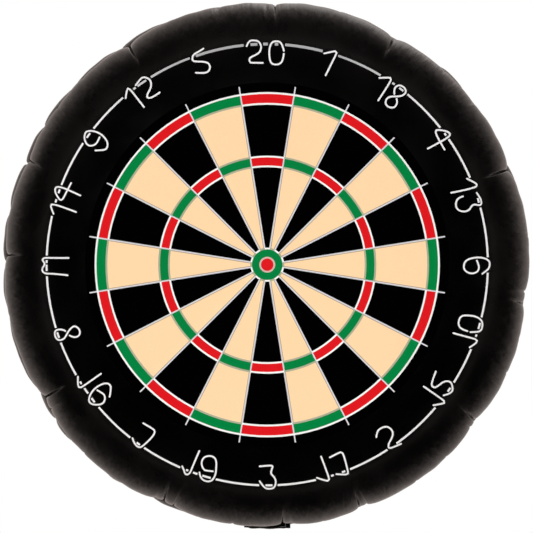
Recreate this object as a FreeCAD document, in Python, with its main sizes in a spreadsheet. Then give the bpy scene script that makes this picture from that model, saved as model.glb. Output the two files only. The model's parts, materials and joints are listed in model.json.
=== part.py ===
"""Round foil balloon, blown up, with a dartboard printed on its front.

Row frame: +Z up, the printed front faces -Y, origin at the centre of the seam circle.
Two flat discs of film are welded round the edge. Blown up, they take the foil curve:
the seam shrinks to 0.763 of the flat radius and each side bulges by 0.599 of the seam radius.
"""
import FreeCAD, Part
import math
import os
import Sketcher

V = FreeCAD.Vector
FRONT = -1
BACK = 1

DIMENSIONS = [
    ("seam_radius", 170.5, "inner edge of the rim weld, blown up"),
    ("rim_width", 5.0, "radial width of the rim weld"),
    ("film", 0.35, "film thickness used for every film"),
    ("ink", 0.25, "thickness used for one layer of print"),
    ("hair", 0.02, "gap kept under each layer of print"),
    ("air_gap", 0.2, "gap between the two films of the valve"),
    ("neck_width", 31.0, "inflation neck across both welds"),
    ("neck_weld", 3.0, "width of each side weld of the neck"),
    ("valve_weld", 1.5, "width of each side weld of the valve"),
    ("neck_length", 60.0, "fold line to the end of the tail tab"),
    ("tab_length", 12.0, "welded tab at the end of the neck"),
    ("valve_depth", 80.0, "how far the valve reaches inside the seam"),
    ("front_mouth", 46.0, "fold line to the end of the valve's front film"),
    ("back_mouth", 35.0, "fold line to the end of the valve's back film"),
    ("nozzle_hole", 5.0, "radius of the filling hole in the neck's back film"),
    ("nozzle_drop", 40.0, "fold line to the centre of the filling hole"),
    ("ribbon_hole", 3.0, "radius of the ribbon hole in the tail tab"),
    ("root_inside", 1.5, "how far the neck's root reaches inside the seam"),
    ("fold_drop", 6.0, "seam to the fold line of the neck"),
    ("fold_relief", 1.0, "root's end to the fold line"),
    ("neck_start", 1.5, "fold line to the start of the neck"),
    ("fold_angle", 104.0, "turn from hanging straight down to lying folded back"),
    ("bull", 4.7, "radius of the inner bull's wire"),
    ("outer_bull", 10.7, "radius of the outer bull's wire"),
    ("treble_in", 65.2, "radius of the treble ring's inner wire"),
    ("treble_out", 71.7, "radius of the treble ring's outer wire"),
    ("double_in", 106.7, "radius of the double ring's inner wire"),
    ("double_out", 113.9, "radius of the double ring's outer wire"),
    ("spoke_end", 119.6, "radius where the spokes end"),
    ("ground_end", 121.0, "radius where the black print under the spokes ends"),
    ("wire_width", 1.15, "printed width of the ring wires"),
    ("spoke_width", 0.95, "printed width of the spokes"),
    ("figure_ring", 146.9, "radius of the number ring's wire"),
    ("figure_ring_width", 1.15, "printed width of the number ring at its sides and bottom"),
    ("figure_ring_top_width", 1.75, "printed width of the number ring at its top"),
    ("figure_radius", 141.2, "radius at the middle of the figures"),
    ("figure_unit", 0.67, "one unit of the grid the figures are drawn on"),
    ("figure_stroke", 1.15, "printed width of a figure's stroke"),
    ("figure_margin", 0.3, "least black margin between a figure and the number ring"),
    ("figure_reach", 11.4, "how far the figures reach from their middle radius"),
]

SECTOR_COUNT = 20
SECTOR_ANGLE = 360.0 / SECTOR_COUNT
CURVE_STEPS = 40
HEIGHT_STEPS = 200
CUT_CLEAR = 2
FLAT_RATIO = 1.3110

doc = FreeCAD.newDocument("foil_balloon")
sheet = doc.addObject("Spreadsheet::Sheet", "dims")
for row, (alias, value, note) in enumerate(DIMENSIONS, start=1):
    sheet.set(f"A{row}", note)
    sheet.set(f"B{row}", str(value))
    sheet.setAlias(f"B{row}", alias)
doc.recompute()


def dim(alias):
    """A driving dimension, read from the sheet."""
    return float(sheet.get(alias))


SEAM = dim("seam_radius")
FILM = dim("film")
INK = dim("ink")
UNDER = (dim("hair"), INK)
OVER = (INK + dim("hair"), 2 * INK)
SLEEVE_HALF = dim("air_gap") / 2 + 2 * FILM
VALVE_HALF = dim("air_gap") / 2 + FILM
sub_parts = []


# ---------------------------------------------------------------- the foil curve

def film_height(radius):
    """Height of the blown-up film over the seam plane at a radius.

    With sin(phi) = (radius / SEAM)^2 the curve's integral becomes
    SEAM / 2 times the integral of sqrt(sin(phi)) from phi to 90 degrees.
    """
    start = math.asin(min(1.0, (radius / SEAM) ** 2))
    step = (math.pi / 2 - start) / HEIGHT_STEPS
    total = 0.0
    for index in range(HEIGHT_STEPS):
        low = start + index * step
        middle = math.sqrt(math.sin(low + step / 2))
        total += (math.sqrt(math.sin(low)) + 4 * middle + math.sqrt(math.sin(low + step))) / 6
    return SEAM / 2 * total * step


def film_point(radius, offset, side):
    """The point a distance `offset` outside the film, in the XY plane."""
    outward = (radius / SEAM) ** 2
    forward = math.sqrt(max(0.0, 1 - outward ** 2))
    height = FILM + film_height(radius) + offset * forward
    return V(radius + offset * outward, side * height, 0)


def film_edge(offset, inner, outer, side):
    """A smooth edge along the film from one radius to another."""
    first = math.asin(inner / SEAM)
    last = math.asin(min(1.0, outer / SEAM))
    count = max(4, int(CURVE_STEPS * (last - first) / (math.pi / 2)))
    angles = [first + (last - first) * index / count for index in range(count + 1)]
    curve = Part.BSplineCurve()
    curve.interpolate([film_point(SEAM * math.sin(angle), offset, side) for angle in angles])
    return curve.toShape()


def film_layer(low, high, inner, outer, start=0.0, sweep=360.0, side=FRONT):
    """A skin that follows the film between two offsets and two radii.

    `start` is the clockwise angle from the top, seen from the front.
    """
    lower = film_edge(low, inner, outer, side)
    upper = film_edge(high, inner, outer, side)
    ends = [Part.makeLine(film_point(r, low, side), film_point(r, high, side)) for r in (inner, outer)]
    wire = Part.Wire(Part.__sortEdges__([lower, ends[1], upper, ends[0]]))
    skin = Part.Face(wire).revolve(V(0, 0, 0), V(0, 1, 0), sweep)
    skin.rotate(V(0, 0, 0), V(0, 1, 0), start - 90)
    return skin


# ---------------------------------------------------------------- parametric helpers

def add_feature(name, shape):
    """A sub-part whose curve comes from a formula."""
    feature = doc.addObject("Part::Feature", name)
    feature.Label = name
    feature.Shape = shape
    sub_parts.append(feature)
    return feature


def add_body(name):
    body = doc.addObject("PartDesign::Body", name)
    body.Label = name
    sub_parts.append(body)
    return body


def upright_sketch(body, name, forward="0 mm"):
    """A sketch on the body's own XZ plane, moved towards the front by `forward`."""
    sketch = body.newObject("Sketcher::SketchObject", name)
    plane = [item for item in body.Origin.OriginFeatures if item.Role == "XZ_Plane"][0]
    sketch.AttachmentSupport = [(plane, "")]
    sketch.MapMode = "FlatFace"
    sketch.setExpression("AttachmentOffset.Base.z", forward)
    return sketch


def add_rectangle(sketch, left, right, bottom, top):
    """A rectangle whose four sides are each bound to an expression.

    Each value is a pair: a starting number and its expression. Left and bottom are measured
    against the axes, so that the sketch can lie anywhere.
    """
    base = sketch.GeometryCount
    around = ((left, bottom), (right, bottom), (right, top), (left, top))
    corners = [V(level[0], height[0], 0) for level, height in around]
    for index in range(4):
        sketch.addGeometry(Part.LineSegment(corners[index], corners[(index + 1) % 4]), False)
    for index in range(4):
        sketch.addConstraint(Sketcher.Constraint("Coincident", base + index, 2, base + (index + 1) % 4, 1))
    for index, kind in enumerate(("Horizontal", "Vertical", "Horizontal", "Vertical")):
        sketch.addConstraint(Sketcher.Constraint(kind, base + index))
    across, along = "DistanceX", "DistanceY"
    sides = ((across, 0, left), (across, 2, right), (along, 0, bottom), (along, 2, top))
    for kind, line, (value, expression) in sides:
        number = sketch.addConstraint(Sketcher.Constraint(kind, -1, 1, base + line, 1, value))
        sketch.setExpression(f"Constraints[{number}]", expression)


def add_circle(sketch, radius, drop=None):
    """A circle on the sketch's upright axis, at the origin or a bound distance below it."""
    start = V(0, 0, 0) if drop is None else V(0, -drop[0], 0)
    number = sketch.addGeometry(Part.Circle(start, V(0, 0, 1), radius[0]), False)
    size = sketch.addConstraint(Sketcher.Constraint("Radius", number, radius[0]))
    sketch.setExpression(f"Constraints[{size}]", radius[1])
    if drop is None:
        sketch.addConstraint(Sketcher.Constraint("Coincident", number, 3, -1, 1))
        return
    sketch.addConstraint(Sketcher.Constraint("PointOnObject", number, 3, -2))
    place = sketch.addConstraint(Sketcher.Constraint("DistanceY", number, 3, -1, 1, drop[0]))
    sketch.setExpression(f"Constraints[{place}]", drop[1])


def add_pad(body, sketch, thickness, both_ways=False):
    """A pad towards the front, or half each way."""
    pad = body.newObject("PartDesign::Pad", sketch.Name + "_pad")
    pad.Profile = sketch
    pad.Midplane = both_ways
    pad.setExpression("Length", thickness)
    sketch.Visibility = False
    return pad


def add_through_pocket(body, sketch):
    pocket = body.newObject("PartDesign::Pocket", sketch.Name + "_pocket")
    pocket.Profile = sketch
    pocket.Type = "ThroughAll"
    pocket.Midplane = True
    return pocket


def add_slab(name, half_width, bottom, top, forward, thickness):
    """A flat film or weld centred on the neck: a padded rectangle."""
    body = add_body(name)
    sketch = upright_sketch(body, name + "_outline", forward)
    left = (-half_width[0], f"-({half_width[1]})")
    add_rectangle(sketch, left, half_width, bottom, top)
    add_pad(body, sketch, thickness)
    return body


def add_pair(name, inner, outer, bottom, top, forward, thickness):
    """Two flat strips, one each side of the neck's middle."""
    body = add_body(name)
    body.AllowCompound = True
    sketch = upright_sketch(body, name + "_outline", forward)
    for sign in (1, -1):
        near = (sign * inner[0], f"{sign} * ({inner[1]})")
        far = (sign * outer[0], f"{sign} * ({outer[1]})")
        low, high = (near, far) if sign > 0 else (far, near)
        add_rectangle(sketch, low, high, bottom, top)
    add_pad(body, sketch, thickness)
    return body


def fold_back(body):
    """Turn a neck piece, drawn hanging from the fold line, to where it lies at rest."""
    body.setExpression("Placement.Base.z", "-(dims.seam_radius + dims.fold_drop) * 1 mm")
    body.Placement.Rotation = FreeCAD.Rotation(V(1, 0, 0), dim("fold_angle"))
    body.setExpression("Placement.Rotation.Angle", "dims.fold_angle * 1 deg")


# ---------------------------------------------------------------- values used by the flat pieces

NECK_HALF = (dim("neck_width") / 2, "dims.neck_width / 2")
NECK_FILM = (NECK_HALF[0] - dim("neck_weld"), "dims.neck_width / 2 - dims.neck_weld")
VALVE_FILM = (NECK_FILM[0] - dim("valve_weld"), NECK_FILM[1] + " - dims.valve_weld")
NECK_TOP = (-dim("neck_start"), "-dims.neck_start")
TAB_TOP = (dim("tab_length") - dim("neck_length"), "dims.tab_length - dims.neck_length")
NECK_END = (-dim("neck_length"), "-dims.neck_length")
ROOT_TOP = (dim("root_inside") - SEAM, "dims.root_inside - dims.seam_radius")
ROOT_END = (
    dim("fold_relief") - SEAM - dim("fold_drop"),
    "dims.fold_relief - dims.seam_radius - dims.fold_drop",
)
VALVE_TOP = (dim("valve_depth") - SEAM, "dims.valve_depth - dims.seam_radius")
FRONT_MOUTH = (-dim("front_mouth"), "-dims.front_mouth")
BACK_MOUTH = (-dim("back_mouth"), "-dims.back_mouth")
VALVE_FACE = "(dims.air_gap / 2 + dims.film) * 1 mm"
VALVE_BACK = "-(dims.air_gap / 2 + dims.film) * 1 mm"
GAP_FACE = "dims.air_gap / 2 * 1 mm"
SLEEVE_BACK = "-(dims.air_gap / 2 + 2 * dims.film) * 1 mm"
SLEEVE_THICKNESS = "(dims.air_gap + 4 * dims.film) * 1 mm"
VALVE_THICKNESS = "(dims.air_gap + 2 * dims.film) * 1 mm"


# ---------------------------------------------------------------- the balloon's two panels and their weld

def root_space():
    """The block that the neck's root takes out of both panels."""
    depth = dim("root_inside") + dim("fold_drop")
    corner = V(-NECK_HALF[0], -SLEEVE_HALF, -SEAM - dim("fold_drop"))
    return Part.makeBox(2 * NECK_HALF[0], 2 * SLEEVE_HALF, depth, corner)


def build_panels():
    """The front and back films, domed to the foil curve and notched for the neck."""
    for name, side in (("front_panel", FRONT), ("back_panel", BACK)):
        dome = film_layer(-FILM, 0.0, 0.0, SEAM, side=side)
        add_feature(name, dome.cut(root_space()))


def build_rim_weld():
    """The flat fused ring round the edge, open where the neck passes through."""
    body = add_body("rim_weld")
    outline = upright_sketch(body, "rim_outline")
    add_circle(outline, (SEAM + dim("rim_width"), "dims.seam_radius + dims.rim_width"))
    add_circle(outline, (SEAM - FILM, "dims.seam_radius - dims.film"))
    add_pad(body, outline, "2 * dims.film", both_ways=True)
    doc.recompute()
    before = body.Shape.Volume
    notch = upright_sketch(body, "neck_notch")
    left = (-NECK_HALF[0], f"-({NECK_HALF[1]})")
    lowest = (-SEAM - dim("fold_drop"), "-dims.seam_radius - dims.fold_drop")
    add_rectangle(notch, left, NECK_HALF, lowest, ROOT_TOP)
    add_through_pocket(body, notch)
    doc.recompute()
    print("rim weld: the notch takes out", round(before - body.Shape.Volume, 1), "mm3")


# ---------------------------------------------------------------- the neck's root and the valve inside

def build_root_and_valve():
    """The sleeve that carries the valve through the weld, and the valve's inner stretch."""
    root = add_slab("neck_root", NECK_HALF, ROOT_END, ROOT_TOP, SLEEVE_BACK, SLEEVE_THICKNESS)
    bore = upright_sketch(root, "neck_root_bore", VALVE_BACK)
    left = (-NECK_FILM[0], f"-({NECK_FILM[1]})")
    add_rectangle(bore, left, NECK_FILM, ROOT_END, ROOT_TOP)
    pocket = root.newObject("PartDesign::Pocket", "neck_root_passage")
    pocket.Profile = bore
    pocket.Reversed = True
    pocket.setExpression("Length", VALVE_THICKNESS)
    add_slab("valve_front_film", VALVE_FILM, ROOT_END, VALVE_TOP, GAP_FACE, "dims.film")
    add_slab("valve_back_film", VALVE_FILM, ROOT_END, VALVE_TOP, VALVE_BACK, "dims.film")
    strip = (ROOT_END, VALVE_TOP, VALVE_BACK, VALVE_THICKNESS)
    add_pair("valve_edge_welds", VALVE_FILM, NECK_FILM, *strip)


# ---------------------------------------------------------------- the folding neck

def add_hole(body, name, radius, drop):
    """A round hole through a neck piece, on the neck's middle line."""
    doc.recompute()
    before = body.Shape.Volume
    sketch = upright_sketch(body, name)
    add_circle(sketch, radius, drop)
    add_through_pocket(body, sketch)
    doc.recompute()
    print(name, "takes out", round(before - body.Shape.Volume, 2), "mm3")


def build_neck():
    """The filling neck below the fold line, drawn hanging and then folded back."""
    front = add_slab("neck_front_film", NECK_FILM, TAB_TOP, NECK_TOP, VALVE_FACE, "dims.film")
    back = add_slab("neck_back_film", NECK_FILM, TAB_TOP, NECK_TOP, SLEEVE_BACK, "dims.film")
    nozzle = (dim("nozzle_hole"), "dims.nozzle_hole")
    add_hole(back, "filling_hole", nozzle, (dim("nozzle_drop"), "dims.nozzle_drop"))
    sleeve_strip = (TAB_TOP, NECK_TOP, SLEEVE_BACK, SLEEVE_THICKNESS)
    valve_strip = (BACK_MOUTH, NECK_TOP, VALVE_BACK, VALVE_THICKNESS)
    welds = add_pair("neck_side_welds", NECK_FILM, NECK_HALF, *sleeve_strip)
    tab = add_slab("tail_tab", NECK_HALF, NECK_END, TAB_TOP, SLEEVE_BACK, SLEEVE_THICKNESS)
    middle = "dims.neck_length - dims.tab_length / 2"
    drop = dim("neck_length") - dim("tab_length") / 2
    add_hole(tab, "ribbon_hole_outline", (dim("ribbon_hole"), "dims.ribbon_hole"), (drop, middle))
    lips = [
        add_slab("valve_mouth_front_film", VALVE_FILM, FRONT_MOUTH, NECK_TOP, GAP_FACE, "dims.film"),
        add_slab("valve_mouth_back_film", VALVE_FILM, BACK_MOUTH, NECK_TOP, VALVE_BACK, "dims.film"),
        add_pair("valve_mouth_welds", VALVE_FILM, NECK_FILM, *valve_strip),
    ]
    for body in [front, back, welds, tab] + lips:
        fold_back(body)


# ---------------------------------------------------------------- the printed dartboard

def sector_start(number):
    """The clockwise angle where a sector begins; sector 0 is centred on the top."""
    return (number - 0.5) * SECTOR_ANGLE


def bed(inner, outer, number):
    return film_layer(*UNDER, dim(inner), dim(outer), sector_start(number), SECTOR_ANGLE)


def build_beds():
    """The four printed colours, as skins on the front panel."""
    dark = range(0, SECTOR_COUNT, 2)
    pale = range(1, SECTOR_COUNT, 2)
    singles = (("outer_bull", "treble_in"), ("treble_out", "double_in"))
    rings = (("treble_in", "treble_out"), ("double_in", "double_out"))
    black = [bed(inner, outer, number) for number in dark for inner, outer in singles]
    black.append(film_layer(*UNDER, dim("double_out"), dim("ground_end")))
    red = [bed(inner, outer, number) for number in dark for inner, outer in rings]
    red.append(film_layer(*UNDER, 0.0, dim("bull")))
    green = [bed(inner, outer, number) for number in pale for inner, outer in rings]
    green.append(film_layer(*UNDER, dim("bull"), dim("outer_bull")))
    cream = [bed(inner, outer, number) for number in pale for inner, outer in singles]
    add_feature("black_print", Part.makeCompound(black))
    add_feature("cream_print", Part.makeCompound(cream))
    add_feature("red_print", Part.makeCompound(red))
    add_feature("green_print", Part.makeCompound(green))


def build_wires():
    """The ring wires and the spokes, printed over the beds."""
    half = dim("wire_width") / 2
    names = ("bull", "outer_bull", "treble_in", "treble_out", "double_in", "double_out")
    rings = [film_layer(*OVER, dim(name) - half, dim(name) + half) for name in names]
    add_feature("ring_wires", Part.makeCompound(rings))
    ends = [dim(name) for name in names[1:]] + [dim("spoke_end") + half]
    depth = film_height(0) + CUT_CLEAR
    width = dim("spoke_width")
    blade = Part.makeBox(width, depth, dim("spoke_end"), V(-width / 2, -depth, 0))
    spokes = []
    for inner, outer in zip(ends, ends[1:]):
        zone = film_layer(*OVER, inner + half, outer - half, -SECTOR_ANGLE / 2, SECTOR_ANGLE)
        for number in range(SECTOR_COUNT):
            piece = zone.common(blade) if number == 0 else spokes[-1].copy()
            turn = sector_start(0) if number == 0 else SECTOR_ANGLE
            piece.rotate(V(0, 0, 0), V(0, 1, 0), turn)
            spokes.append(piece)
    add_feature("spoke_wires", Part.makeCompound([solid for piece in spokes for solid in piece.Solids]))


# ---------------------------------------------------------------- the number ring and its figures

# Each number is drawn on its own small grid, `figure_unit` to a square: across from the
# sector's middle line, and up from the middle of the figures. The points are the poles of
# a second-degree spline, so the line rounds every corner like a bent wire.
STANDING = {
    20: [[(-20.5, 6.5), (-18.5, 12), (-13, 12.5), (-8, 11.5), (-5.5, 5), (-8, -0.5), (-14, -3.5),
          (-18, -5.5), (-17.5, -10), (-14, -10.3), (-4.5, -10.3)],
         [(16.4, -1.3), (16, -6), (13, -12), (4, -12), (2, -5), (2, 5), (5, 11.5), (13, 11.5), (15.5, 6),
          (16.5, 1.8)]],
    1: [[(-11, 6.5), (-2, 12), (0.5, 12.5), (0.5, 9), (-3, -14)]],
    18: [[(-19, 5), (-10.5, 12), (-8.5, 11.5), (-7.5, 3), (-6.7, -14)],
         [(2.4, 0.8), (-1, 4.5), (0, 10.5), (6, 12.5), (11.5, 9.5), (9.5, 2.5), (-1, -4.5), (-0.5, -11.5),
          (4.5, -14), (11, -10.5), (10, -4), (7.1, -1.9)]],
    4: [[(0.5, -14), (2, -3), (3, 6), (3, 12.5), (0, 13), (-4, 10.5), (-10, 4), (-8.5, 2), (-5, 1)],
        [(-5, 1), (1, 0), (11, -1)]],
    13: [[(-20, 4.5), (-15, 9.5), (-12.5, 12), (-9.5, 12), (-9.5, 5), (-10, -2), (-11.5, -15)],
         [(-3.5, 9.5), (0, 10.5), (5, 11.5), (9.5, 10), (8.5, 7), (6.5, 3.5), (7, 0.5), (10.5, -3),
          (10.5, -8.5), (7.5, -13.5), (2.5, -15), (-2.5, -12.5), (-4.5, -9), (-4.5, -5)]],
    6: [[(9, 3), (6.5, 6.5), (3.5, 10), (-3, 11), (-6.5, 6), (-7.5, -2), (-6, -10), (-3, -15), (4, -16),
         (8, -12), (9, -6), (6.5, -1), (1, 0), (-4, -2.5)]],
    11: [[(-10.5, -12.5), (-9, 0), (-9, 7), (-8.5, 11.5), (-4.5, 14), (1, 9.5), (4.5, 13.5), (7, 11.5),
          (6.7, 5), (6.7, -13.5)]],
    14: [[(-17.5, 7), (-10.5, 13), (-9, 12), (-8, 4), (-9, -14)],
         [(8, -13), (9, -4), (10, 4), (9.5, 12), (7, 13.5), (3, 12), (-3, 5), (-1.5, 3), (1, 2.3)],
         [(1, 2.3), (8, 1.2), (17, -0.3)]],
    9: [[(-8.5, -6), (-5, -10.5), (-1, -14.5), (4.5, -12), (7, -7), (8, 0), (6, 7.5), (2.5, 12), (0, 13),
         (-5.5, 10.5), (-9.5, 3.5), (-6, -1.5), (-1, -3), (4.5, -1.5)]],
    12: [[(-16.5, 6), (-10, 13), (-8, 12), (-7.5, 4), (-7, -12)],
         [(-1, 10.5), (4, 12), (9.5, 13.5), (13.5, 8.5), (13.5, 4), (9.5, -1), (3, -3.5), (0.5, -7),
          (5.5, -9.5), (14, -9.5)]],
    5: [[(6, 13.3), (0.5, 11.7), (-6, 10.7), (-8.5, 5), (-4.5, 3), (1.5, 1), (6.5, -2), (7, -7),
         (3.5, -10.5), (-1, -10.5), (-8.5, -7.5)]],
}
HANGING = {
    10: [[(-7.5, 14), (-6.5, -7), (-6.5, -10.5), (-9, -12), (-16, -6)],
         [(-1.3, -2), (0, -6), (2.5, -11.5), (7, -12), (13, -10), (15.3, -3), (14, 5), (11.5, 12),
          (5, 13), (0, 10.5), (-1.5, 5), (-1.3, 1.2)]],
    15: [[(-6.5, 14), (-6, -9), (-6.5, -13), (-9, -12), (-16, -5)],
         [(12.5, 13), (5, 11), (-1.5, 8.5), (-1.5, 4.5), (2.5, 2.5), (9, 1), (13.5, -4.5), (10.5, -9.5),
          (5, -13.5), (-2, -7.5)]],
    2: [[(-13, 8.5), (-9.5, 12.5), (-4.5, 13.5), (2.5, 11), (4, 3.5), (0, -1), (-7, -4), (-10, -7.5),
         (-7, -9.5), (3, -11.5)]],
    17: [[(-8, 13), (-7, -8), (-7.5, -12.5), (-10, -12.5), (-18.5, -6)],
         [(0, 9.5), (11, 11.5), (14, 10.5), (13, -8), (12.5, -12), (9.5, -12), (1, -8.5)]],
    3: [[(-7.5, 10.5), (3, 11.5), (6, 11), (4, 6.5), (3.5, 3), (7, -0.3), (9, -5), (7, -11.5), (2, -12.3),
         (-3, -11.5), (-7.5, -4.5)]],
    19: [[(-7, 14), (-8.7, -4), (-9, -11), (-13, -13.5), (-16, -8.5), (-18.5, -6)],
         [(-0.3, -6.5), (1.5, -10.5), (7, -13.5), (14, -11.5), (15.8, -4), (14, 4), (11.5, 11.5), (6, 13.5),
          (-1, 10), (-1.8, 3), (3, -3), (7, -2.3), (12, -1.2)]],
    7: [[(-7, 11), (2, 12), (7.5, 12), (8.3, 5), (6, -8), (4, -11.5), (-2, -11.3), (-7, -7.5)]],
    16: [[(-9.5, 13.5), (-9.7, -8), (-10.5, -12.5), (-13.5, -12.5), (-20.5, -7)],
         [(14, 7), (10, 11.5), (5, 15), (0.5, 12), (-1.5, 4), (-0.5, -5), (4, -12), (8, -13), (12.5, -9.5),
          (16.2, -2.5), (12.5, 3), (8, 4), (1.7, 0.8)]],
    8: [[(6.2, 2.3), (9.8, 5.5), (9.5, 12), (4, 14), (-1.8, 10.5), (0, 5), (3, 1.2), (8, -4), (7.8, -10),
         (3, -12.3), (-3.5, -10.5), (-2.2, -3), (0.6, -0.5)]],
}
CLOCKWISE = (20, 1, 18, 4, 13, 6, 10, 15, 2, 17, 3, 19, 7, 16, 8, 11, 14, 9, 12, 5)
POINTS_PER_POLE = 3
MARKS_PER_SIDE = 8
RING_STEPS = 2400
NEAR_RING = 4
LEAST_INK = 0.85
SHORTEST_BIT = 4
TOP_SPREAD = 22.0


def stroke_centre(poles, place, upright):
    """The middle line of one stroke, on the flat face as seen from the front."""
    unit = dim("figure_unit")
    around = math.radians(place * SECTOR_ANGLE)
    outward = V(math.sin(around), 0, math.cos(around))
    across = V(math.cos(around), 0, -math.sin(around))
    way = 1 if upright else -1
    middle = outward * dim("figure_radius")
    points = [middle + across * (way * x * unit) + outward * (way * y * unit) for x, y in poles]
    curve = Part.BSplineCurve()
    curve.buildFromPoles(points, False, 2)
    return curve.discretize(Number=POINTS_PER_POLE * len(poles))


def marks_along(line):
    """Points close together along a stroke's middle line, to measure the number ring's gaps from."""
    steps = [step / MARKS_PER_SIDE for step in range(MARKS_PER_SIDE + 1)]
    return [start + (end - start) * step for start, end in zip(line, line[1:]) for step in steps]


def stroke_face(line, half):
    """The flat outline of a stroke: everything within `half` of its middle line."""
    outline = Part.makePolygon(line).makeOffset2D(half, 0, False, False, False)
    return Part.makeFace(outline.Wires, "Part::FaceMakerBullseye")


def build_figures():
    """The twenty numbers, bent like wire, as one printed layer on the film."""
    half = dim("figure_stroke") / 2
    inner = dim("figure_radius") - dim("figure_reach")
    outer = dim("figure_radius") + dim("figure_reach")
    depth = film_height(0) + CUT_CLEAR
    solids = []
    centres = []
    for place, number in enumerate(CLOCKWISE):
        upright = number in STANDING
        strokes = STANDING[number] if upright else HANGING[number]
        lines = [stroke_centre(poles, place, upright) for poles in strokes]
        centres.extend(lines)
        blades = [stroke_face(line, half).extrude(V(0, -depth, 0)) for line in lines]
        whole = blades[0].multiFuse(blades[1:]) if len(blades) > 1 else blades[0]
        skin = film_layer(*UNDER, inner, outer, sector_start(place), SECTOR_ANGLE)
        found = skin.common(whole).Solids
        area = whole.Volume / depth
        if len(found) != len(whole.Solids) or sum(solid.Volume for solid in found) < LEAST_INK * area * INK:
            raise ValueError("number %d lost a stroke" % number)
        solids.extend(found)
    add_feature("numbers", Part.makeCompound(solids))
    return [mark for line in centres for mark in marks_along(line)]


def ring_half(angle):
    """Half the number ring's width at a clockwise angle in degrees: it is widest at the top."""
    from_top = min(angle % 360, -angle % 360)
    narrow = dim("figure_ring_width")
    extra = dim("figure_ring_top_width") - narrow
    return (narrow + extra * math.exp(-((from_top / TOP_SPREAD) ** 2))) / 2


def build_figure_ring(marks):
    """The number ring's wire, broken wherever a figure's black margin crosses it."""
    radius = dim("figure_ring")
    turn = 360.0 / RING_STEPS
    near = [mark for mark in marks if abs(mark.Length - radius) < NEAR_RING]
    shown = []
    for index in range(RING_STEPS):
        around = math.radians(index * turn)
        clear = dim("figure_stroke") / 2 + dim("figure_margin") + ring_half(index * turn)
        here = V(radius * math.sin(around), 0, radius * math.cos(around))
        shown.append(min(here.distanceToPoint(mark) for mark in near) > clear)
    first = shown.index(False)
    runs = []
    for step in range(1, RING_STEPS + 1):
        index = (first + step) % RING_STEPS
        if shown[index] and not shown[index - 1]:
            runs.append([first + step, first + step])
        if shown[index]:
            runs[-1][1] = first + step
    bits = []
    for low, high in runs:
        if high - low < SHORTEST_BIT:
            continue
        half = ring_half((low + high) / 2 * turn)
        bits.append(film_layer(*UNDER, radius - half, radius + half, low * turn, (high - low) * turn))
    add_feature("number_ring", Part.makeCompound(bits))
    print("number ring:", len(bits), "arcs")


# ---------------------------------------------------------------- build, test and write

build_panels()
build_rim_weld()
build_root_and_valve()
build_neck()
build_beds()
build_wires()
build_figure_ring(build_figures())
doc.recompute()

for item in doc.Objects:
    if any(word in ("Invalid", "Error") for word in item.State):
        raise RuntimeError(f"{item.Name} failed: {item.State}")
for item in sub_parts:
    if item.Shape.isNull() or not item.Shape.isValid():
        raise RuntimeError(f"{item.Label} has no valid shape")
    if not item.Shape.Solids:
        raise RuntimeError(f"{item.Label} has no solid")

os.makedirs("parts", exist_ok=True)
for item in sub_parts:
    item.Shape.exportStep(f"parts/{item.Label}.step")
    print(item.Label, len(item.Shape.Solids), "solids", round(item.Shape.Volume, 1), "mm3")
print("flat diameter", round(2 * (dim("rim_width") + SEAM * FLAT_RATIO), 1), "mm")
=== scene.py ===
# %% [markdown]
# # A round foil balloon printed as a dartboard
#
# The balloon is two discs of thin black film, welded together round the edge and blown up.
# Film doesn't stretch, so the flat discs have too much edge for the smaller, fatter shape that
# the gas gives them, and the spare edge gathers into sharp creases round the rim.
# The dartboard is ink on the front film, and below the rim hangs the filling neck, which
# folds on a crease in the film.
#
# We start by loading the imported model. Its sizes are the only ones that we trust, so every
# piece below takes its place from there.

# %% Load the frame
import bpy
import bmesh
import json
import math
import numpy as np
from mathutils import Matrix, Vector


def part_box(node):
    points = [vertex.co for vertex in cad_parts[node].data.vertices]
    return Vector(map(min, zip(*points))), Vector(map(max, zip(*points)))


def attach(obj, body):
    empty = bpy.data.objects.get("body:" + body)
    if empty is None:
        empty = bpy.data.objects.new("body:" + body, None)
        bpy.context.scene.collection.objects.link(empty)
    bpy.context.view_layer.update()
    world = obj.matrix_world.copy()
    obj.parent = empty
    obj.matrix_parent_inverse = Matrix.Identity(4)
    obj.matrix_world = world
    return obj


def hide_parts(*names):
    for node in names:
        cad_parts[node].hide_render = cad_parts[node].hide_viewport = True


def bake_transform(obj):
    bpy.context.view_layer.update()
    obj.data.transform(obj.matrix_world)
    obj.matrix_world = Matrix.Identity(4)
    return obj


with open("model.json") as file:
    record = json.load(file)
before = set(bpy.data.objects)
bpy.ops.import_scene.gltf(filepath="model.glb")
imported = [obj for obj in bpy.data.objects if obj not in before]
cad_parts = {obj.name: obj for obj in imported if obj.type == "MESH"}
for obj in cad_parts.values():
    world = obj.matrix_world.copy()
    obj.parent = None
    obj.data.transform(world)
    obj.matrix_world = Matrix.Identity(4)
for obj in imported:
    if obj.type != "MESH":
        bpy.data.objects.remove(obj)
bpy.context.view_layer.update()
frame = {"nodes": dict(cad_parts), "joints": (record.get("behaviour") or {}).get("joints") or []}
MM = 0.001

# %% Sizes read from the frame
rim_low, rim_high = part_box("rim_weld")
root_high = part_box("neck_root")[1]
RIM_WIDTH = 5 * MM
SEAM = rim_high.x - RIM_WIDTH
FILM = (rim_high.y - rim_low.y) / 2
NECK_HALF = root_high.x
fold = frame["joints"][0]
FOLD_LINE = Vector(fold["pos_m"])
print("seam radius", round(SEAM / MM, 2), "mm, fold line at z", round(FOLD_LINE.z / MM, 2), "mm")

# %% [markdown]
# ## Helpers for pieces
#
# A finished piece has its object at the origin and its place in its mesh, because patterns on
# Object coordinates would slide otherwise. `keep` makes a mesh object from a bmesh, gives it a
# material and, if a body is given, ties it to that body of the frame.

# %% Keep a bmesh as a piece
scene = bpy.context.scene


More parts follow.
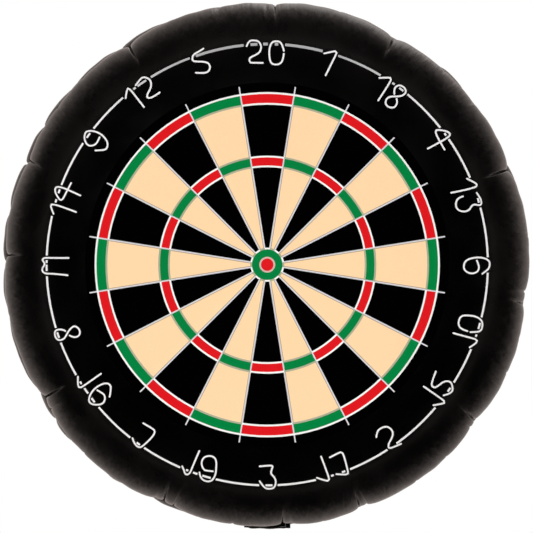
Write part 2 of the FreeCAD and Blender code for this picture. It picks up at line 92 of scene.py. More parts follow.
def keep(bm, name, material, body=None, smooth=True):
    """Make a piece from a bmesh and let it ride on a body."""
    mesh = bpy.data.meshes.new(name)
    for face in bm.faces:
        face.smooth = smooth
    bm.to_mesh(mesh)
    bm.free()
    piece = bpy.data.objects.new(name, mesh)
    scene.collection.objects.link(piece)
    mesh.materials.append(material)
    if body:
        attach(piece, body)
    return piece


def report(piece):
    low = [round(min(v.co[i] for v in piece.data.vertices) / MM, 1) for i in range(3)]
    high = [round(max(v.co[i] for v in piece.data.vertices) / MM, 1) for i in range(3)]
    print(piece.name, len(piece.data.polygons), "faces, from", low, "to", high, "mm")


# %% [markdown]
# ## Helpers for finishes
#
# Every finish is a Principled shader with a few nodes in front of it. The small function below
# adds a node and sets its values, which keeps each recipe short. Patterns read Object
# coordinates in metres, so a noise scale of 400 means lumps of about 2.5 mm.

# %% Start a finish
def start_finish(name, roughness, specular=0.5):
    material = bpy.data.materials.new(name)
    material.use_nodes = True
    nodes, links = material.node_tree.nodes, material.node_tree.links
    shader = nodes["Principled BSDF"]
    shader.inputs["Roughness"].default_value = roughness
    shader.inputs["Specular IOR Level"].default_value = specular
    place = nodes.new("ShaderNodeTexCoord").outputs["Object"]
    return material, nodes, links, shader, place


def add_node(nodes, kind, **values):
    node = nodes.new(kind)
    for key, value in values.items():
        if key.startswith("in_"):
            number = int(key[3:])
            node.inputs[number].default_value = value
        else:
            setattr(node, key, value)
    return node


def math_node(nodes, links, operation, first, second=None):
    """One Math node; first and second are sockets or plain numbers."""
    node = nodes.new("ShaderNodeMath")
    node.operation = operation
    for number, value in enumerate((first, second)):
        if value is None:
            continue
        if hasattr(value, "links"):
            links.new(value, node.inputs[number])
        else:
            node.inputs[number].default_value = value
    return node.outputs[0]


def add_bump(nodes, links, shader, height, strength, distance):
    bump = add_node(nodes, "ShaderNodeBump")
    bump.inputs["Strength"].default_value = strength
    bump.inputs["Distance"].default_value = distance
    links.new(height, bump.inputs["Height"])
    links.new(bump.outputs["Normal"], shader.inputs["Normal"])


def noise(nodes, links, place, scale, detail=4.0):
    texture = add_node(nodes, "ShaderNodeTexNoise")
    texture.inputs["Scale"].default_value = scale
    texture.inputs["Detail"].default_value = detail
    links.new(place, texture.inputs["Vector"])
    return texture.outputs["Fac"]


def two_colours(nodes, links, factor, first, second, shader=None):
    """Mix two colours by a factor and, if a shader is given, use them as its colour."""
    mix = add_node(nodes, "ShaderNodeMix", data_type="RGBA")
    mix.inputs[6].default_value = (*first, 1)
    mix.inputs[7].default_value = (*second, 1)
    if hasattr(factor, "links"):
        links.new(factor, mix.inputs[0])
    else:
        mix.inputs[0].default_value = factor
    if shader:
        links.new(mix.outputs[2], shader.inputs["Base Color"])
    return mix.outputs[2]


# %% [markdown]
# ## The finishes
#
# The film is black ink over a metallised layer: it gleams only where it curves away from us.
# Its gloss comes from the shader's own Fresnel effect, so the front face stays black while the
# rim picks up the studio. Fine crinkles go in as a very small bump.
#
# The dartboard's inks are matte. Flat ink on film still shows a slight mottle, so each colour
# wavers a little between two close shades.

# %% Angle and radius round the balloon's axis
def round_the_axis(nodes, links, place):
    """Clockwise angle from the top, in radians, and the distance from the axis."""
    axes = add_node(nodes, "ShaderNodeSeparateXYZ")
    links.new(place, axes.inputs[0])
    angle = math_node(nodes, links, "ARCTAN2", axes.outputs["X"], axes.outputs["Z"])
    across = math_node(nodes, links, "POWER", axes.outputs["X"], 2.0)
    along = math_node(nodes, links, "POWER", axes.outputs["Z"], 2.0)
    radius = math_node(nodes, links, "SQRT", math_node(nodes, links, "ADD", across, along))
    return angle, radius


def ramp(nodes, links, value, low, high, bottom=0.0, top=1.0):
    """A smooth step from one value to another."""
    step = add_node(nodes, "ShaderNodeMapRange", interpolation_type="SMOOTHSTEP")
    links.new(value, step.inputs["Value"])
    step.inputs["From Min"].default_value = low
    step.inputs["From Max"].default_value = high
    step.inputs["To Min"].default_value = bottom
    step.inputs["To Max"].default_value = top
    return step.outputs["Result"]


def gathers(nodes, links, place):
    """Fine wrinkles that run in from the rim: noise stretched along the radius."""
    angle, radius = round_the_axis(nodes, links, place)
    stretched = add_node(nodes, "ShaderNodeCombineXYZ")
    links.new(math_node(nodes, links, "MULTIPLY", angle, 34.0), stretched.inputs["X"])
    links.new(math_node(nodes, links, "MULTIPLY", radius, 60.0), stretched.inputs["Y"])
    lines = noise(nodes, links, stretched.outputs[0], 1.6, 2.0)
    near_rim = ramp(nodes, links, radius, 0.150, 0.171)
    return math_node(nodes, links, "MULTIPLY", lines, near_rim)


# %% Film finishes
# Where the film is folded under, it is crushed and matte. The mesh carries that as an attribute
# named fold, from 0 on smooth film to 1 in a crease.
def film_finish(name, colour, other, roughness, specular, crinkle, gather):
    material, nodes, links, shader, place = start_finish(name, roughness, specular)
    cloud = noise(nodes, links, place, 35.0)
    two_colours(nodes, links, cloud, colour, other, shader)
    folded = add_node(nodes, "ShaderNodeAttribute", attribute_name="fold").outputs["Fac"]
    uneven = ramp(nodes, links, cloud, 0.3, 0.7, roughness - 0.04, roughness + 0.05)
    crushed = math_node(nodes, links, "MULTIPLY", folded, 0.95)
    links.new(math_node(nodes, links, "MAXIMUM", uneven, crushed), shader.inputs["Roughness"])
    fine = math_node(nodes, links, "MULTIPLY", noise(nodes, links, place, 260.0, 6.0), crinkle)
    drawn = math_node(nodes, links, "MULTIPLY", gathers(nodes, links, place), gather)
    add_bump(nodes, links, shader, math_node(nodes, links, "ADD", fine, drawn), 1.0, 1.0)
    return material


FRONT_BLACK = ((0.0003, 0.0003, 0.0003), (0.0007, 0.0006, 0.0006))
BACK_BLACK = ((0.0003, 0.0003, 0.0003), (0.0008, 0.0007, 0.0007))
NECK_BLACK = ((0.0015, 0.0014, 0.0014), (0.003, 0.0028, 0.0027))
front_finish = film_finish("black film", *FRONT_BLACK, 0.27, 0.3, 0.00003, 0.0007)
back_finish = film_finish("black film back", *BACK_BLACK, 0.33, 0.4, 0.00005, 0.0008)
neck_finish = film_finish("black film neck", *NECK_BLACK, 0.32, 0.45, 0.00008, 0.0)


# %% Weld finish
# The heat seal presses fine ribs into the film, across the weld's width.
def weld_finish(name, across, pitch):
    material, nodes, links, shader, place = start_finish(name, 0.42, 0.4)
    cloud = noise(nodes, links, place, 60.0)
    two_colours(nodes, links, cloud, (0.0015, 0.0014, 0.0013), (0.004, 0.0037, 0.0034), shader)
    wave = add_node(nodes, "ShaderNodeTexWave", wave_type="BANDS" if across == "Z" else "RINGS")
    if across == "Z":
        wave.bands_direction = "Z"
    else:
        wave.rings_direction = "Y"
    wave.inputs["Scale"].default_value = 1 / pitch / math.pi
    links.new(place, wave.inputs["Vector"])
    add_bump(nodes, links, shader, wave.outputs["Fac"], 0.6, 0.0002)
    return material


rim_finish = weld_finish("rim weld", "Y", 0.0011)
side_finish = weld_finish("neck weld", "Z", 0.0011)

# %% Ink finishes
SECTOR = math.radians(18)


def ink_finish(name, colour, other, specular=0.03):
    material, nodes, links, shader, place = start_finish(name, 0.7, specular)
    shader.inputs["Diffuse Roughness"].default_value = 0.8
    mottle = noise(nodes, links, place, 900.0, 3.0)
    two_colours(nodes, links, mottle, colour, other, shader)
    add_bump(nodes, links, shader, mottle, 0.1, 0.0001)
    return material, nodes, links, shader, place


red_ink = ink_finish("red ink", (0.71, 0.008, 0.014), (0.77, 0.014, 0.018))[0]
green_ink = ink_finish("green ink", (0.0005, 0.225, 0.052), (0.001, 0.268, 0.062))[0]
black_ink = ink_finish("black ink", (0.0003, 0.0003, 0.0003), (0.0007, 0.0006, 0.0006), 0.0)[0]
figure_ink = ink_finish("figure ink", (0.80, 0.79, 0.79), (0.93, 0.92, 0.92))[0]

# %% Cream ink, with the thin shade line beside each spoke
cream_ink, nodes, links, shader, place = ink_finish("cream ink", (0.93, 0.69, 0.425), (0.975, 0.74, 0.465))
angle, radius = round_the_axis(nodes, links, place)
sectors = math_node(nodes, links, "ADD", math_node(nodes, links, "DIVIDE", angle, SECTOR), 20.5)
part = math_node(nodes, links, "FRACT", sectors)
from_spoke = math_node(nodes, links, "MINIMUM", part, math_node(nodes, links, "SUBTRACT", 1.0, part))
arc = math_node(nodes, links, "MULTIPLY", radius, math_node(nodes, links, "MULTIPLY", from_spoke, SECTOR))
SHADE_LINE = 0.95 * MM
line = math_node(nodes, links, "MULTIPLY", math_node(nodes, links, "LESS_THAN", arc, SHADE_LINE), 0.6)
plain_cream = shader.inputs["Base Color"].links[0].from_socket
lined = add_node(nodes, "ShaderNodeMix", data_type="RGBA")
links.new(line, lined.inputs[0])
links.new(plain_cream, lined.inputs[6])
lined.inputs[7].default_value = (0.20, 0.16, 0.12, 1)
links.new(lined.outputs[2], shader.inputs["Base Color"])

# %% Wire ink, white beside black and duller between cream and green
# The inner bull's wire is one warm grey all round, and the outermost wire is white all round.
WIRE_WHITE = (0.88, 0.88, 0.86)
BULL_WIRE_LIMIT = 7 * MM
OUTER_WIRE_LIMIT = 111 * MM
ring_ink, nodes, links, shader, place = ink_finish("ring wire ink", WIRE_WHITE, WIRE_WHITE)
angle, radius = round_the_axis(nodes, links, place)
sectors = math_node(nodes, links, "ADD", math_node(nodes, links, "DIVIDE", angle, SECTOR), 20.5)
pale_sector = math_node(nodes, links, "MODULO", math_node(nodes, links, "FLOOR", sectors), 2.0)
inner_wires = math_node(nodes, links, "LESS_THAN", radius, OUTER_WIRE_LIMIT)
dull = math_node(nodes, links, "MULTIPLY", pale_sector, inner_wires)
by_sector = two_colours(nodes, links, dull, WIRE_WHITE, (0.44, 0.48, 0.34))
bull_mix = add_node(nodes, "ShaderNodeMix", data_type="RGBA")
links.new(math_node(nodes, links, "LESS_THAN", radius, BULL_WIRE_LIMIT), bull_mix.inputs[0])
links.new(by_sector, bull_mix.inputs[6])
bull_mix.inputs[7].default_value = (0.68, 0.52, 0.46, 1)
links.new(bull_mix.outputs[2], shader.inputs["Base Color"])
spoke_ink = ink_finish("spoke wire ink", (0.64, 0.63, 0.65), (0.74, 0.73, 0.76))[0]

# %% Number ring ink, greyer towards the top
number_ring_ink, nodes, links, shader, place = ink_finish("number ring ink", (0.9, 0.9, 0.9), (0.9, 0.9, 0.9))
axes = add_node(nodes, "ShaderNodeSeparateXYZ")
links.new(place, axes.inputs[0])
towards_top = ramp(nodes, links, axes.outputs["Z"], 0.095, 0.146)
two_colours(nodes, links, towards_top, (0.88, 0.87, 0.87), (0.45, 0.45, 0.45), shader)

# %% Clear valve film
valve_finish, nodes, links, shader, place = start_finish("clear valve film", 0.3, 0.5)
two_colours(nodes, links, noise(nodes, links, place, 90.0), (0.62, 0.64, 0.66), (0.74, 0.76, 0.78), shader)
add_bump(nodes, links, shader, noise(nodes, links, place, 240.0), 0.3, 0.0002)
shader.inputs["Transmission Weight"].default_value = 0.6

# %% [markdown]
# ## Printed pieces that the frame already has
#
# The beds, the wires and the numbers are thin skins on the film. Their CAD shapes are exact, so
# they stay, and only get their inks here.

# %% Ink the printed nodes
for node, ink in (
    ("cream_print", cream_ink), ("red_print", red_ink), ("green_print", green_ink),
    ("black_print", black_ink), ("ring_wires", ring_ink), ("spoke_wires", spoke_ink), ("numbers", figure_ink),
    ("number_ring", number_ring_ink), ("valve_front_film", valve_finish), ("valve_back_film", valve_finish),
    ("valve_edge_welds", valve_finish), ("valve_mouth_front_film", valve_finish),
    ("valve_mouth_back_film", valve_finish), ("valve_mouth_welds", valve_finish),
):
    mesh = frame["nodes"][node].data
    mesh.materials.clear()
    mesh.materials.append(ink)
    print(node, "gets", ink.name)

# %% [markdown]
# ## The blown-up film
#
# A blown-up foil disc takes a known curve. Near the middle it is almost flat, and at the rim
# it stands straight up from the seam. With phi as a helper angle, sin(phi) = (r / seam)^2, the
# height over the seam is seam / 2 times the integral of sqrt(sin(phi)) up to 90 degrees.
#
# The curve is a handful of points spun round the balloon's axis. Up to the number ring it stays
# exactly on the curve, because the print lies on it there. Outside, the film swells into lobes
# between sharp creases. A crease is the sum of a wide V, where the lobes fall towards each other,
# and a narrow pinch, where the film is folded under. Both fade away up the film.

# %% The foil curve
def foil_height(radius):
    """Height of the film over the seam plane, for an array of radii in metres."""
    start = np.arcsin(np.clip((np.asarray(radius) / SEAM) ** 2, 0, 1))
    steps = np.linspace(0, 1, 161)
    angles = start[:, None] + (math.pi / 2 - start)[:, None] * steps[None, :]
    values = np.sqrt(np.sin(angles))
    weights = np.ones(161)
    weights[1:-1:2] = 4
    weights[2:-1:2] = 2
    total = (values * weights).sum(axis=1) * (math.pi / 2 - start) / 160 / 3
    return SEAM / 2 * total


print("half thickness", round(float(foil_height([0.0])[0]) / MM, 1), "mm")

# %% Creases round the rim
# Each crease: clockwise angle from the top, depth in mm, and how far up the film it runs, in mm.
FRONT_CREASES = (
    (-0.3, 1.6, 44), (1.6, 3.6, 46), (16.4, 1.6, 22), (29.0, 6.0, 46), (42.4, 1.4, 24),
    (52.2, 2.2, 30), (60.0, 0.8, 18), (68.5, 5.6, 50), (84.0, 0.9, 20), (95.8, 2.2, 46),
    (98.8, 5.0, 40), (106.0, 1.0, 20), (114.0, 1.2, 24), (127.0, 5.4, 46), (128.5, 1.6, 36),
    (137.0, 1.0, 20), (145.7, 1.2, 24), (157.4, 2.2, 50), (159.2, 4.2, 44), (168.0, 0.8, 18),
    (174.6, 1.8, 46), (176.8, 4.6, 42), (187.5, 1.6, 26), (195.0, 0.9, 20), (201.4, 2.4, 50),
    (203.6, 5.2, 46), (205.6, 1.6, 36), (214.0, 0.9, 20), (224.0, 1.4, 26), (236.4, 1.8, 40),
    (239.2, 5.6, 48), (249.0, 0.9, 22), (259.0, 1.4, 24), (272.0, 5.4, 40), (283.3, 1.2, 22),
    (293.8, 4.4, 42), (306.7, 1.5, 28), (315.5, 1.3, 24), (327.8, 5.8, 46), (339.0, 1.0, 20),
    (349.3, 2.4, 32),
)
BACK_CREASES = (
    (2.0, 4.0, 46), (9.5, 2.6, 34), (18.0, 4.2, 44), (26.0, 2.4, 32), (34.0, 4.8, 46),
    (41.0, 2.2, 30), (48.8, 4.4, 42), (53.6, 2.6, 30), (60.0, 4.4, 44), (67.0, 3.4, 36),
    (73.4, 4.2, 44), (80.0, 3.0, 34), (88.0, 4.6, 46), (97.0, 2.8, 32), (105.0, 4.8, 46),
    (112.5, 3.0, 34), (120.0, 4.4, 42), (129.0, 2.8, 34), (138.0, 4.6, 48), (146.0, 2.8, 30),
    (154.0, 4.8, 46), (163.0, 3.0, 36), (170.0, 4.2, 40), (189.0, 4.4, 42), (197.0, 3.0, 34),
    (207.0, 4.8, 48), (212.0, 3.0, 30), (220.0, 4.4, 42), (227.0, 3.4, 36), (234.0, 3.8, 38),
    (241.0, 5.4, 48), (258.6, 4.8, 42), (270.6, 5.6, 48), (281.6, 4.8, 42), (292.8, 5.0, 46),
    (302.0, 3.8, 36), (312.4, 4.8, 44), (325.8, 5.8, 50), (340.0, 4.4, 44), (350.0, 2.8, 34),
)
BROAD = 13.0
NARROW = 2.6
LOPSIDED = 0.45
PINCH_WIDTH = 0.55
SWELL_TOP = 55.0
SEAM_DRAW = 2.2
COLUMNS = 640


def ease(value):
    value = np.clip(value, 0, 1)
    return value * value * (3 - 2 * value)


def arc_from(angle, crease, radius):
    """Distance along the rim from a crease, in mm."""
    turn = (angle - crease + 180) % 360 - 180
    return np.radians(turn) * radius / MM


def crease_sum(angle, radius, creases, width):
    """How strongly the rim is drawn in by a set of creases: about 1 at a deep one."""
    total = np.zeros_like(angle)
    for where, depth, reach in creases:
        total += depth / 5 * np.exp(-np.abs(arc_from(angle, where, radius)) / width)
    return total


def pucker(angle, height):
    """Soft pleats between the creases, which fade out up the film. In mm."""
    turn = np.radians(angle)
    wave = np.sin(47 * turn + 2 * np.sin(5 * turn)) + 0.7 * np.sin(79 * turn + 3 * np.sin(3 * turn + 1))
    return 0.16 * wave * ease((30 - height) / 24)


def film_swell(angle, radius, height, creases, swell):
    """Distance that the film stands outside the foil curve, and how folded it is, 0 to 1.

    Height and distance are in mm. Each crease is a broad scallop, a narrow dip that is steeper
    on one side, and a thin pinch in the middle of the dip.
    """
    total = swell * ease((SWELL_TOP - height) / (SWELL_TOP - 16)) + pucker(angle, height)
    folded = np.zeros_like(total)
    for number, (where, depth, reach) in enumerate(creases):
        side = math.sin(2.3 * number)
        fade = ease((reach - height) / (reach - 6))
        away = arc_from(angle, where + 0.9 * side * (height / reach) ** 2, radius)
        narrow = NARROW * (1 + LOPSIDED * side * np.sign(away))
        pinch = np.sqrt(fade) * np.exp(-((away / PINCH_WIDTH) ** 2))
        total -= 0.50 * depth * fade**1.5 * np.exp(-np.abs(away) / BROAD)
        total -= 0.30 * depth * fade * np.exp(-np.abs(away) / narrow)
        total -= 0.45 * depth * pinch
        folded = np.maximum(folded, min(1, depth / 3.5) * pinch)
    return total, folded


# %% Columns crowd together at the creases
def crowded(angle, creases):
    """Turn evenly spaced angles into angles that are dense near each crease."""
    fine = np.linspace(0, 360, 7201)
    density = np.ones_like(fine)
    for where, depth, reach in creases:
        turn = (fine - where + 180) % 360 - 180
        density += 1.5 * depth * np.exp(-((turn / 0.3) ** 2)) + 0.35 * depth * np.exp(-((turn / 1.3) ** 2))
    total = np.concatenate([[0], np.cumsum((density[1:] + density[:-1]) / 2)])
    return np.interp(angle, total / total[-1] * 360, fine)


# %% Where the seam runs
# The seam lies in the valley between the front and back lobes. Front creases pull it back and
# inwards, and back creases pull it forward.
def seam_place(angle):
    """Radius and Y of the seam at an angle, in metres."""
    front = crease_sum(angle, SEAM, FRONT_CREASES, 5.0)
    back = crease_sum(angle, SEAM, BACK_CREASES, 5.0)
    radius = SEAM - (SEAM_DRAW + 2.6 * front + 1.4 * back) * MM
    return radius, (2.0 * front - 1.6 * back + 0.8) * MM


# %% Spin one side of the balloon
def film_rows():
    """Radii of the rows, from the middle to the seam: sparse inside and dense where it creases."""
    inner = np.linspace(0, 0.85, 20)[:-1]
    outer = np.sin(np.linspace(math.asin(0.85), math.pi / 2, 38))
    return np.concatenate([inner, outer]) * SEAM


def spin_film(name, side, creases, swell, finish):
    radii = film_rows()
    heights = foil_height(radii) + FILM
    bm = bmesh.new()
    row = [bm.verts.new((r, side * h, 0)) for r, h in zip(radii, heights)]
    edges = [bm.edges.new(pair) for pair in zip(row, row[1:])]
    bmesh.ops.spin(
        bm, geom=row + edges, cent=(0, 0, 0), axis=(0, 1, 0), angle=2 * math.pi, steps=COLUMNS, use_merge=True
    )
    bmesh.ops.remove_doubles(bm, verts=bm.verts, dist=1e-6)
    bmesh.ops.recalc_face_normals(bm, faces=bm.faces)
    piece = keep(bm, name, finish)
    shape_film(piece.data, side, creases, swell)
    return piece


def shape_film(mesh, side, creases, swell):
    """Move the spun vertices: swell the lobes, fold the creases and gather the seam."""
    places = np.zeros(len(mesh.vertices) * 3)
    mesh.vertices.foreach_get("co", places)
    places = places.reshape(-1, 3)
    radius = np.hypot(places[:, 0], places[:, 2])
    height = np.abs(places[:, 1]) - FILM
    angle = crowded(np.degrees(np.arctan2(places[:, 0], places[:, 2])) % 360, creases)
    outward = (radius / SEAM) ** 2
    forward = np.sqrt(np.clip(1 - outward**2, 0, 1))
    amount, folded = film_swell(angle, radius, height / MM, creases, swell(angle))
    amount[height > SWELL_TOP * MM] = 0
    amount *= MM
    out = radius + amount * outward
    up = height + FILM + amount * forward
    seam_radius, seam_y = seam_place(angle)
    free = 1 - np.exp(-((height / (7 * MM)) ** 2))
    out = seam_radius + (out - seam_radius) * free
    y = side * (up * free + FILM * (1 - free)) + seam_y * np.exp(-height / (14 * MM)) * (1 - free * 0.3)
    turn = np.radians(angle)
    places = np.stack([out * np.sin(turn), y, out * np.cos(turn)], axis=1)
    mesh.vertices.foreach_set("co", places.ravel())
    mesh.attributes.new("fold", "FLOAT", "POINT").data.foreach_set("value", folded)
    mesh.update()


# %% The front and back films
def front_swell(angle):
    return 7.3 + 0.3 * np.sin(np.radians(3 * angle + 40)) + 0.2 * np.sin(np.radians(7 * angle))


def back_swell(angle):
    """The back's lobes stand out furthest at the left, and a little at the upper right."""
    lean = 0.5 + 0.5 * np.cos(np.radians(angle - 285))
    total = 6.0 + 4.0 * lean**2
    for where, more, spread in ((45, 3.6, 7), (57, 2.8, 6), (71, 2.4, 9), (216, 1.6, 5), (231, 1.8, 5)):
        total += more * np.exp(-(((angle - where) / spread) ** 2))
    return total


front_film = spin_film("front_film", -1, FRONT_CREASES, front_swell, front_finish)
back_film = spin_film("back_film", 1, BACK_CREASES, back_swell, back_finish)
FILM_THICKNESS = 0.3 * MM
for film, node in ((front_film, "front_panel"), (back_film, "back_panel")):
    solid = film.modifiers.new("thickness", "SOLIDIFY")
    solid.thickness = FILM_THICKNESS
    solid.offset = -1
    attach(film, "balloon")
    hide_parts(node)
    report(film)

# %% [markdown]
# ## The rim weld
#
# Where the films meet they are melted into a flat strip, five millimetres wide. The strip can't
# shrink either, so it zigzags between the creases. It is a short profile spun round the axis and
# then moved to follow the seam.

# %% Spin the rim weld
def spin_rim():
    bm = bmesh.new()
    across = [0.0, 0.3, 0.55, 0.8, 1.0]
    row = [bm.verts.new((SEAM + share * RIM_WIDTH, 0, 0)) for share in across]
    edges = [bm.edges.new(pair) for pair in zip(row, row[1:])]
    bmesh.ops.spin(
        bm, geom=row + edges, cent=(0, 0, 0), axis=(0, 1, 0), angle=2 * math.pi, steps=COLUMNS, use_merge=True
    )
    bmesh.ops.remove_doubles(bm, verts=bm.verts, dist=1e-6)
    piece = keep(bm, "rim_seam", rim_finish)
    places = np.zeros(len(piece.data.vertices) * 3)
    piece.data.vertices.foreach_get("co", places)
    places = places.reshape(-1, 3)
    share = (np.hypot(places[:, 0], places[:, 2]) - SEAM) / RIM_WIDTH
    angle = crowded(np.degrees(np.arctan2(places[:, 0], places[:, 2])) % 360, FRONT_CREASES)
    turn = np.radians(angle)
    radius, seam_y = seam_place(angle)
    flutter = (0.5 * np.sin(41 * turn) + 0.4 * np.sin(67 * turn)) * share * MM
    out = radius - 0.4 * MM + share * (RIM_WIDTH - 0.6 * MM)
    y = seam_y * (1 + 0.5 * share) + flutter
    places = np.stack([out * np.sin(turn), y, out * np.cos(turn)], axis=1)
    piece.data.vertices.foreach_set("co", places.ravel())
    piece.data.update()
    return piece


rim_seam = spin_rim()
solid = rim_seam.modifiers.new("thickness", "SOLIDIFY")
solid.thickness = 2 * FILM
solid.offset = 0
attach(rim_seam, "balloon")
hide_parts("rim_weld")
report(rim_seam)

# %% [markdown]
# ## The filling neck
#
# The neck is two strips of the same film, welded along both sides and closed by a tab with the
# ribbon's hole. It leaves the rim weld, folds sharply on a crease and lies back under the balloon.
# We draw each piece flat: X runs across the strip and Y runs along it, measured from the fold
# line. Then one function bends the flat drawing round the fold, so all pieces share one path.
# The strips cross the joint, so they are left unattached to either body.

# %% The neck's path
tab_low, tab_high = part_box("tail_tab")
neck_way = ((tab_low + tab_high) / 2 - FOLD_LINE).normalized()
FOLD_EASE = 1.8 * MM
ROOT_LENGTH = root_high.z - FOLD_LINE.z
TAB_LENGTH = 12 * MM
NECK_LENGTH = 60 * MM
WELD_WIDTH = 3 * MM
NECK_FILM_HALF = NECK_HALF - WELD_WIDTH
print("the neck lies along", [round(c, 3) for c in neck_way])


def path_point(along):
    """Place and direction of the neck's middle line; negative is up in the root."""
    up = Vector((0, 0, 1))
    if along < -FOLD_EASE:
        return FOLD_LINE - up * along, -up
    if along > FOLD_EASE:
        return FOLD_LINE + neck_way * along, neck_way
    share = (along + FOLD_EASE) / (2 * FOLD_EASE)
    start, end = FOLD_LINE + up * FOLD_EASE, FOLD_LINE + neck_way * FOLD_EASE
    place = start * (1 - share) ** 2 + FOLD_LINE * 2 * share * (1 - share) + end * share**2
    way = (FOLD_LINE - start) * (1 - share) + (end - FOLD_LINE) * share
    return place, way.normalized()


def bend_round_fold(bm):
    """Take a flat drawing (across, along, outwards) to its place round the fold."""
    for vertex in bm.verts:
        across, along, outwards = vertex.co
        place, way = path_point(along)
        front = Vector((0, way.z, -way.y))
        vertex.co = place + Vector((across, 0, 0)) + front * outwards


# %% Flat strips
def flat_strip(left, right, bottom, top, pitch):
    """A grid of squares about `pitch` wide between four sides."""
    bm = bmesh.new()
    columns = max(2, round((right - left) / pitch))
    rows = max(2, round((top - bottom) / pitch))
    bmesh.ops.create_grid(bm, x_segments=columns, y_segments=rows, size=0.5)
    bmesh.ops.scale(bm, vec=(right - left, top - bottom, 1), verts=bm.verts)
    bmesh.ops.translate(bm, vec=((left + right) / 2, (bottom + top) / 2, 0), verts=bm.verts)
    return bm


def punch(bm, along, radius):
    """A round hole on the strip's middle line."""
    centre = Vector((0, along, 0))
    inside = [face for face in bm.faces if (face.calc_center_median() - centre).length < radius]
    bmesh.ops.delete(bm, geom=inside, context="FACES")
    for vertex in bm.verts:
        if vertex.is_boundary and (vertex.co - centre).length < radius * 1.5:
            vertex.co = centre + (vertex.co - centre).normalized() * radius


def crinkle(across, along):
    """Small wrinkles that start at the fold and at the welds. In metres."""
    near_fold = math.exp(-abs(along) / (9 * MM))
    long_wave = math.sin(across * 520 + 3 * math.sin(along * 90))
    cross_wave = math.sin(along * 310 + across * 140)
    return (0.16 * long_wave * (0.35 + near_fold) + 0.10 * cross_wave) * MM


def pillow(across, along):
    """Half the gap between the neck's two films: shut at the welds and pinched at the fold."""
    edge = min(1, max(0, (NECK_FILM_HALF - abs(across)) / (1.2 * MM)))
    fold = 1 - math.exp(-((along / (2.2 * MM)) ** 2))
    belly = 1 - (across / NECK_FILM_HALF) ** 2
    return (0.16 + edge * (0.2 + 0.42 * fold + 0.5 * fold * belly)) * MM


def neck_strip(name, bm, side, thickness, replaced, crosses_fold, finish, gap):
    """Wrinkle a flat strip, bend it round the fold and, unless it crosses the fold, tie it to the neck."""
    for vertex in bm.verts:
        across, along, _ = vertex.co
        vertex.co.z = side * gap(across, along) + crinkle(across, along)
    bend_round_fold(bm)
    bmesh.ops.recalc_face_normals(bm, faces=bm.faces)
    piece = keep(bm, name, finish, body=None if crosses_fold else "neck")
    solid = piece.modifiers.new("thickness", "SOLIDIFY")
    solid.thickness = thickness
    solid.offset = 0
    if crosses_fold:
        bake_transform(piece)
    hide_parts(*replaced)
    report(piece)
    return piece


# %% Neck films, welds and tail tab
TAB_START = NECK_LENGTH - TAB_LENGTH
PITCH = 1.0 * MM

strip = flat_strip(-NECK_FILM_HALF, NECK_FILM_HALF, -ROOT_LENGTH, TAB_START, PITCH)
neck_front = neck_strip(
    "neck_front_sheet", strip, 1, 0.25 * MM, ["neck_front_film"], True, neck_finish, pillow
)
strip = flat_strip(-NECK_FILM_HALF, NECK_FILM_HALF, -ROOT_LENGTH, TAB_START, PITCH)
punch(strip, 40 * MM, 5 * MM)
neck_back = neck_strip(
    "neck_back_sheet", strip, -1, 0.25 * MM, ["neck_back_film"], True, neck_finish, pillow
)


def no_gap(across, along):
    return 0.0


strip = flat_strip(NECK_FILM_HALF, NECK_HALF, -ROOT_LENGTH, TAB_START, PITCH * 0.6)
bmesh.ops.mirror(strip, geom=strip.verts[:] + strip.edges[:] + strip.faces[:], axis="X", merge_dist=-1)
neck_strip(
    "neck_weld_strips", strip, 1, 0.5 * MM, ["neck_side_welds", "neck_root"], True, side_finish,
    no_gap
)
strip = flat_strip(-NECK_HALF, NECK_HALF, TAB_START, NECK_LENGTH, PITCH * 0.6)
punch(strip, NECK_LENGTH - TAB_LENGTH / 2, 3 * MM)
neck_strip("tail_end", strip, 1, 0.6 * MM, ["tail_tab"], False, side_finish, no_gap)

# %% [markdown]
# ## Light, floor and camera
#
# Foil is a mirror in disguise: it shows the studio. The room in front of the balloon is dark and
# the room behind it is pale, so the front stays black and the rim brightens as it turns away.
# Two large soft lights near the camera's line light the inks, and their mirror images fall on
# the matte middle, where they can't be seen.

# %% The studio
world = bpy.data.worlds.new("studio")
scene.world = world
world.use_nodes = True
wn, wl = world.node_tree.nodes, world.node_tree.links
backdrop = wn["Background"]
backdrop.inputs["Color"].default_value = (1, 1, 1, 1)
backdrop.inputs["Strength"].default_value = 1.0
room = add_node(wn, "ShaderNodeBackground")
direction = add_node(wn, "ShaderNodeTexCoord").outputs["Generated"]
parts = add_node(wn, "ShaderNodeSeparateXYZ")
wl.new(direction, parts.inputs[0])
behind = add_node(wn, "ShaderNodeMapRange", interpolation_type="SMOOTHSTEP")
behind.inputs["From Min"].default_value = 0.14
behind.inputs["From Max"].default_value = 0.68
behind.inputs["To Max"].default_value = 0.85
wl.new(parts.outputs["Y"], behind.inputs["Value"])
above = add_node(wn, "ShaderNodeMapRange", interpolation_type="SMOOTHSTEP")
above.inputs["From Min"].default_value = 0.3
above.inputs["From Max"].default_value = 1.0
above.inputs["To Max"].default_value = 0.03
wl.new(parts.outputs["Z"], above.inputs["Value"])
glow = math_node(wn, wl, "ADD", behind.outputs["Result"], above.outputs["Result"])
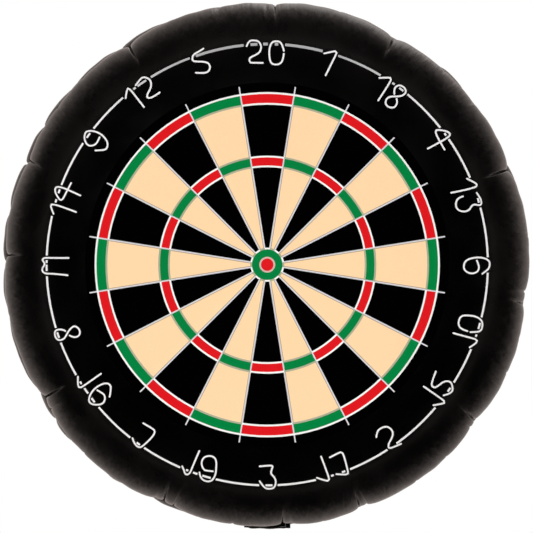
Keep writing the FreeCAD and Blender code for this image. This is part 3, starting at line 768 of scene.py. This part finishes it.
warm_glow = two_colours(wn, wl, glow, (0, 0, 0), (1.0, 0.86, 0.80))
wl.new(warm_glow, room.inputs["Color"])
room.inputs["Strength"].default_value = 1.0
choose = add_node(wn, "ShaderNodeMixShader")
seen = add_node(wn, "ShaderNodeLightPath")
wl.new(seen.outputs["Is Camera Ray"], choose.inputs[0])
wl.new(room.outputs[0], choose.inputs[1])
wl.new(backdrop.outputs[0], choose.inputs[2])
wl.new(choose.outputs[0], wn["World Output"].inputs["Surface"])


def soft_light(name, place, size, power):
    lamp = bpy.data.lights.new(name, "AREA")
    lamp.size = size
    lamp.energy = power
    light = bpy.data.objects.new(name, lamp)
    scene.collection.objects.link(light)
    light.location = place
    light.rotation_euler = (-Vector(place)).to_track_quat("-Z", "Y").to_euler()
    return light


soft_light("key", (-1.1, -3.6, 1.0), 1.2, 78)
soft_light("fill", (1.1, -3.6, 0.6), 1.2, 62)
soft_light("back top", (0.7, 2.8, 2.4), 1.8, 8)

# %% The floor
FLOOR_RADIUS = 1.3
FLOOR_HEIGHT = -0.42
bm = bmesh.new()
low = Matrix.Translation((0, 0, FLOOR_HEIGHT))
bmesh.ops.create_circle(bm, cap_ends=True, segments=96, radius=FLOOR_RADIUS, matrix=low)
floor_finish, nodes, links, shader, place = start_finish("floor", 0.7, 0.2)
two_colours(nodes, links, noise(nodes, links, place, 3.0), (0.82, 0.82, 0.81), (0.86, 0.86, 0.85), shader)
floor = keep(bm, "floor", floor_finish, smooth=False)
floor.visible_glossy = False

# %% The camera
CAMERA_DISTANCE = 10.0
VIEW_WIDTH = 0.3572
camera_data = bpy.data.cameras.new("camera")
camera = bpy.data.objects.new("camera", camera_data)
scene.collection.objects.link(camera)
camera_data.sensor_width = 36
camera_data.lens = 36 * CAMERA_DISTANCE / VIEW_WIDTH
camera_data.clip_end = 100
camera.location = (-0.0005, -CAMERA_DISTANCE, -0.0012)
camera.rotation_euler = (math.pi / 2, 0, 0)
scene.camera = camera
scene.view_settings.view_transform = "Standard"
